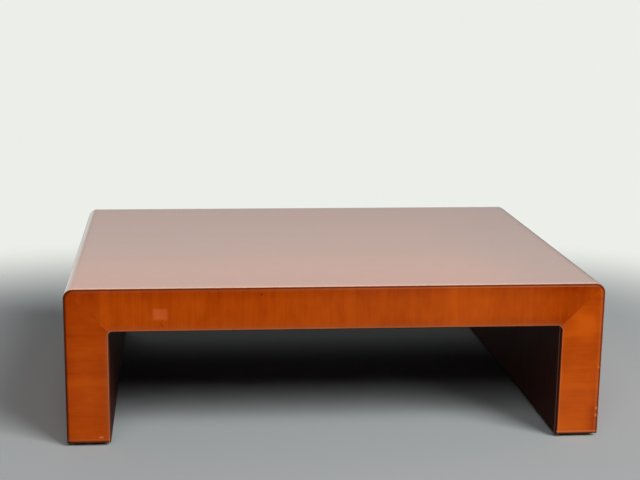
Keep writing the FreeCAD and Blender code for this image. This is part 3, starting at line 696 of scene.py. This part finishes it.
# The faces are satin, so they show their own colour and figure. The top has the full gloss and mirrors the
# room at low angles. The lining has one thin coat and stays dull, and its colours are darkened well below
# the wood's own as painted shade, for the deep shade under the table.
cherry_front = stained_cherry("cherry_crossband_stained_front", "#8a2a00", "#bc500a", FACE_FIGURE,
                              (0.2, 0.3), 0.12, 0.25, WEAR_AND_HIGHLIGHT, FRONT_MARKS)
cherry_top = stained_cherry("cherry_wrap_gloss_lacquer", "#862e06", "#b04a12", TOP_FIGURE,
                            (0.12, 0.2), 0.8, 0.5, TOP_WEAR_AND_HIGHLIGHT, TOP_MARKS)
# the lining's colours are painted shade, darkened for the shade under the table
cherry_lining = stained_cherry("cherry_lining_dull_lacquer_darkened_for_shade", "#250a05", "#351007", TOP_FIGURE,
                               (0.5, 0.6), 0.0, 0.06, LINING_HIGHLIGHT)
# The wraps' edges are cut across the pores and rounded over, so they soak up the stain, dark and dull.
# They are made darker still as painted shade, where the eased edges would mirror the dark room.
cut_edge = stained_cherry("cherry_sheet_cut_edge_stain_and_shade", "#240803", "#3e1208", FACE_FIGURE,
                          (0.5, 0.65), 0.0, 0.08, WEAR_AND_HIGHLIGHT)
# The plinths are brushed black and drink the light. The glides keep the fine grain of their mould, and the
# nails the bright, slightly crystalline look of zinc plate.
plinth_paint = speckled("plinth_matt_black_paint", "#0c0c0d", "#1b1a19", 3, (0.55, 0.8))
glide_nylon = speckled("glide_moulded_nylon", "#2a2622", "#36312c", 1.2, (0.4, 0.55))
nail_zinc = speckled("nail_bright_zinc_plate", "#a9abab", "#c9cbcb", 0.8, (0.25, 0.45), metallic=1.0)

# ---------------------------------------------------------------- the veneers

outside_wrap = wrap("outside_wrap", OUTER_CENTRE, OUTER_RADIUS, -1, 0.0)
finish_piece(outside_wrap, [cherry_top, cut_edge], "cherry_veneer", "outer_veneer")
inside_wrap = wrap("inside_wrap", COVE_CENTRE, COVE_RADIUS, 1, 3.1)
finish_piece(inside_wrap, [cherry_lining, cut_edge], "cherry_veneer", "inner_veneer")

# Two chips and a nick in the front's outer arris on the right leg: height, half height and depth of each.
RIGHT_LEG_CHIPS = [(0.0700, 2.6 * MM, 0.7 * MM), (0.0528, 2.4 * MM, 0.6 * MM), (0.1686, 1.6 * MM, 0.4 * MM)]

for front, face_name in ((-1, "front"), (1, "back")):
    apron = face_veneer(f"{face_name}_apron", apron_band(), 1, front, 1.3 + front, apron_tone)
    finish_piece(apron, [cherry_front], "cherry_veneer", f"{face_name}_apron_veneer")
    for side, side_name, tone_at in ((-1, "left", left_leg_tone), (1, "right", right_leg_tone)):
        chips = RIGHT_LEG_CHIPS if front < 0 < side else ()
        leg = face_veneer(f"{face_name}_{side_name}_leg_face", leg_band(), side, front,
                          5.2 + side + 0.3 * front, tone_at, chips)
        finish_piece(leg, [cherry_front], "cherry_veneer", f"{face_name}_{side_name}_leg_veneer")

# ---------------------------------------------------------------- glides and nails

glide_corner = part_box("glides")[1]
glide_x, glide_y = glide_corner.x - GLIDE_RADIUS, glide_corner.y - GLIDE_RADIUS
glide_places = [(x, y) for x in (-glide_x, glide_x) for y in (-glide_y, glide_y)]
nail_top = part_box("glide_nails")[1].z

disc_profile = [(NAIL_SHANK, GLIDE_HEIGHT), (NAIL_SHANK, NAIL_HEAD_HIGH), (NAIL_HEAD, NAIL_HEAD_HIGH),
                (NAIL_HEAD, 0), *rounding(GLIDE_RADIUS, GLIDE_EASE, GLIDE_EASE),
                (GLIDE_RADIUS, GLIDE_HEIGHT)]
discs = turned("nylon_glides", disc_profile, glide_places)
finish_piece(discs, [glide_nylon], "nylon", "glides")
nail_profile = [(0, NAIL_HEAD_LOW), *rounding(NAIL_HEAD, NAIL_HEAD_LOW + NAIL_EASE, NAIL_EASE),
                (NAIL_HEAD, NAIL_HEAD_HIGH), (NAIL_SHANK, NAIL_HEAD_HIGH),
                (NAIL_SHANK, nail_top - NAIL_POINT), (0, nail_top)]
nails = turned("zinc_nails", nail_profile, glide_places)
finish_piece(nails, [nail_zinc], "zinc_steel", "glide_nails")

# ---------------------------------------------------------------- the solids that keep their shape

for node_name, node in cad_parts.items():
    if node.hide_render:
        continue
    low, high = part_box(node_name)
    size = high - low
    longest = max(range(3), key=lambda axis: size[axis])
    thinnest = min(range(3), key=lambda axis: size[axis])
    if "plinth" in node_name:
        material = plinth_paint
    elif any(word in node_name for word in ("skin", "rib", "spline")):
        key = f"birch_plywood_{'xyz'[longest]}_{'xyz'[thinnest]}"
        material = bpy.data.materials.get(key) or bare_wood(key, "#b08a58", "#e0c79a", longest, 14, thinnest)
    else:
        key = f"planed_pine_{'xyz'[longest]}"
        material = bpy.data.materials.get(key) or bare_wood(key, "#b88648", "#e4c58c", longest, 5)
    node.data.materials.clear()
    node.data.materials.append(material)

# ---------------------------------------------------------------- the lamps

def softbox(name, place, aim, size, level):
    """A square area light. level is the light that it gives at aim, where 1 renders a colour as it is
    written: a lamp of power P watts at a distance r gives P / (pi r)^2. The gloss doesn't mirror it, because
    its square would burn out the top from some sides."""
    data = bpy.data.lights.new(name, "AREA")
    data.size = size
    distance = (Vector(place) - Vector(aim)).length
    data.energy = level * (math.pi * distance) ** 2
    lamp = bpy.data.objects.new(name, data)
    lamp.location = place
    lamp.visible_glossy = False
    lamp.rotation_euler = (Vector(place) - Vector(aim)).to_track_quat("Z", "Y").to_euler()
    bpy.context.scene.collection.objects.link(lamp)


table_middle = (0, 0, 0.2)
softbox("key_right_front", (5.2, -6.4, 6.6), table_middle, 5.0, 1.0)
softbox("fill_front", (-1.2, -7.4, 6.8), table_middle, 5.0, 0.3)
softbox("back_high", (-1.2, 5.6, 7.4), table_middle, 5.0, 0.06)

# ---------------------------------------------------------------- the wall

WALL = "#ecefe9"  # pale wall, seen behind the table and mirrored in it
AMBIENT = 0.065  # light from all round
# What the gloss mirrors. Each row is two heights above the level in degrees, and the share of the wall's
# brightness below the first and above the second: the floor far off, the foot of the wall, and the ceiling.
MIRRORED = [(-3, 3, 0.12, 1.0), (9, 13, 0.62, 1.0), (26, 50, 1.0, 0.25)]
# Pale screens at the sides, from the floor up: how far to +X a direction points where a screen begins and
# where it is full, and the share that it then has.
SCREENS = [(-0.12, -0.18, 0.95), (0.34, 0.38, 0.75)]

world = bpy.data.worlds.new("pale_studio")
bpy.context.scene.world = world
world.use_nodes = True
sky = world.node_tree
sky.nodes.clear()
path = add(sky, "ShaderNodeLightPath").outputs
direction = add(sky, "ShaderNodeTexCoord").outputs["Generated"]
toward = add(sky, "ShaderNodeSeparateXYZ", {"Vector": direction}).outputs
mirrored = 1.0
for low_angle, high_angle, low_share, high_share in MIRRORED:
    share = add(sky, "ShaderNodeMapRange",
                {"Value": toward[2], "From Min": math.sin(math.radians(low_angle)),
                 "From Max": math.sin(math.radians(high_angle)), "To Min": low_share, "To Max": high_share},
                interpolation_type="SMOOTHSTEP").outputs[0]
    mirrored = add(sky, "ShaderNodeMath", {"Value": share, "Value_001": mirrored},
                   operation="MULTIPLY").outputs[0]
for start, full, screen in SCREENS:
    share = add(sky, "ShaderNodeMapRange", {"Value": toward[0], "From Min": start, "From Max": full},
                interpolation_type="SMOOTHSTEP").outputs[0]
    mirrored = add(sky, "ShaderNodeMix", {"Factor_Float": share, "A_Float": mirrored, "B_Float": screen},
                   data_type="FLOAT").outputs["Result"]
strength = add(sky, "ShaderNodeMix",
               {"Factor_Float": path["Is Camera Ray"], "A_Float": mirrored, "B_Float": 1.0},
               data_type="FLOAT").outputs["Result"]
wall = add(sky, "ShaderNodeBackground", {"Color": linear(WALL), "Strength": strength})
ambient = add(sky, "ShaderNodeBackground", {"Color": (1, 1, 1, 1), "Strength": AMBIENT})
seen = add(sky, "ShaderNodeMath", {"Value": path["Is Camera Ray"], "Value_001": path["Is Glossy Ray"]},
           operation="MAXIMUM").outputs[0]
seen = add(sky, "ShaderNodeMath", {"Value": seen, "Value_001": path["Is Transmission Ray"]},
           operation="MAXIMUM").outputs[0]
studio = add(sky, "ShaderNodeMixShader",
             {"Fac": seen, "Shader": ambient.outputs[0], "Shader_001": wall.outputs[0]})
add(sky, "ShaderNodeOutputWorld", {"Surface": studio.outputs[0]})

# ---------------------------------------------------------------- the floor

FLOOR = "#a7abac"
FLOOR_REACH = 9.0  # metres from the table to the floor's border
FLOOR_FADE = (0.35, 1.35)  # the floor melts into the pale wall between these distances from the table

floor_mesh = bpy.data.meshes.new("floor")
corners = [(x * FLOOR_REACH, y * FLOOR_REACH, 0) for x, y in ((-1, -1), (1, -1), (1, 1), (-1, 1))]
floor_mesh.from_pydata(corners, [], [(0, 1, 2, 3)])
floor = bpy.data.objects.new("floor", floor_mesh)
bpy.context.scene.collection.objects.link(floor)
floor_material, tree = new_material("plain_floor")
place = add(tree, "ShaderNodeTexCoord").outputs["Object"]
past = add(tree, "ShaderNodeVectorMath", {"Vector": place}, operation="ABSOLUTE").outputs[0]
past = add(tree, "ShaderNodeVectorMath", {"Vector": past, "Vector_001": (HALF_LENGTH, HALF_DEPTH, 0)},
           operation="SUBTRACT").outputs[0]
past = add(tree, "ShaderNodeVectorMath", {"Vector": past, "Vector_001": (0, 0, 0)},
           operation="MAXIMUM").outputs[0]
distance = add(tree, "ShaderNodeVectorMath", {"Vector": past}, operation="LENGTH").outputs["Value"]
faded = add(tree, "ShaderNodeMapRange",
            {"Value": distance, "From Min": FLOOR_FADE[0], "From Max": FLOOR_FADE[1]},
            interpolation_type="SMOOTHSTEP").outputs[0]
floor_path = add(tree, "ShaderNodeLightPath").outputs
looked_at = add(tree, "ShaderNodeMath",
                {"Value": floor_path["Is Camera Ray"], "Value_001": floor_path["Is Glossy Ray"]},
                operation="MAXIMUM").outputs[0]
faded = add(tree, "ShaderNodeMath", {"Value": faded, "Value_001": looked_at},
            operation="MULTIPLY").outputs[0]
matt = add(tree, "ShaderNodeBsdfDiffuse", {"Color": linear(FLOOR)})
clear = add(tree, "ShaderNodeBsdfTransparent")
blend = add(tree, "ShaderNodeMixShader",
            {"Fac": faded, "Shader": matt.outputs[0], "Shader_001": clear.outputs[0]})
add(tree, "ShaderNodeOutputMaterial", {"Surface": blend.outputs[0]})
floor_mesh.materials.append(floor_material)
floor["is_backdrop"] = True

# ---------------------------------------------------------------- the camera

CAMERA_PLACE = (-0.355, -3.489, 1.0771)
CAMERA_YAW = math.radians(4.713)  # to the right of +Y
CAMERA_PITCH = math.radians(13.472)  # below the level
CAMERA_ROLL = math.radians(0.454)
SENSOR = 36.0
LENS = 78.036  # millimetres on that sensor
SHIFT = (0.0469, 0.0781)

ahead = Vector((math.sin(CAMERA_YAW) * math.cos(CAMERA_PITCH), math.cos(CAMERA_YAW) * math.cos(CAMERA_PITCH),
                -math.sin(CAMERA_PITCH)))
level_right = ahead.cross(Vector((0, 0, 1))).normalized()
upward = level_right.cross(ahead)
right = math.cos(CAMERA_ROLL) * level_right + math.sin(CAMERA_ROLL) * upward
top = math.cos(CAMERA_ROLL) * upward - math.sin(CAMERA_ROLL) * level_right
camera_data = bpy.data.cameras.new("camera")
camera_data.sensor_width = SENSOR
camera_data.lens = LENS
camera_data.shift_x, camera_data.shift_y = SHIFT
camera = bpy.data.objects.new("camera", camera_data)
camera.matrix_world = Matrix.Translation(CAMERA_PLACE) @ Matrix((right, top, -ahead)).transposed().to_4x4()
bpy.context.scene.collection.objects.link(camera)
bpy.context.scene.camera = camera
bpy.context.scene.view_settings.view_transform = "Standard"

# ---------------------------------------------------------------- the end

low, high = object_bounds()
